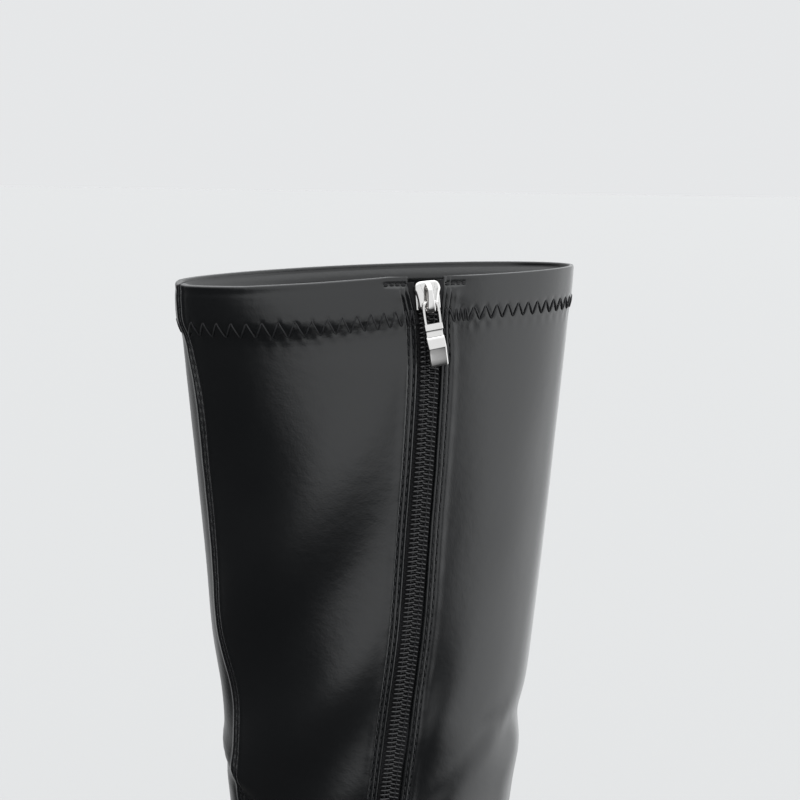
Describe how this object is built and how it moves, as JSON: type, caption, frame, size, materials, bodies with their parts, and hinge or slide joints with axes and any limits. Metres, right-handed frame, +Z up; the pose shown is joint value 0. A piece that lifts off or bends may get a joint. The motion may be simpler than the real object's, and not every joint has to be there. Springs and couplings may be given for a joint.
{
  "type": "knee-high boot",
  "caption": "Knee-high right boot with a block heel: hollow leather upper, padded collar, long inner-side zip with a swinging pull tab, outsole and insole.",
  "frame": {"origin": "middle of the heel's ground face", "axes": "+Z up the leg, the toe along -X, the inner side with the zip facing -Y"},
  "size_m": [0.2675, 0.0837, 0.4277],
  "materials": {
    "upper_leather": "black satin coated leather with soft folds",
    "insole_lining": "dark woven lining",
    "sole_rubber": "matt black moulded rubber with a fine tread",
    "heel_cover": "black satin coated leather, wrapped",
    "zip_tape": "black woven tape",
    "zip_coil": "black nylon coil",
    "zip_metal": "bright nickel plate"
  },
  "bodies": {
    "boot": {"upper": "upper_leather", "insole": "insole_lining", "outsole": "sole_rubber", "heel": "heel_cover", "top_lift": "sole_rubber", "zip_tape": "zip_tape", "zip_coil": "zip_coil", "zip_slider": "zip_metal"},
    "pull_tab": {"pull_tab": "zip_metal"}
  },
  "joints": [
    {"name": "tab_swing", "type": "hinge", "parent": "boot", "child": "pull_tab", "pos_m": [-0.00474, -0.03692, 0.41878], "axis": [-0.9832, -0.0854, -0.1613], "range_deg": [0, 150]}
  ]
}
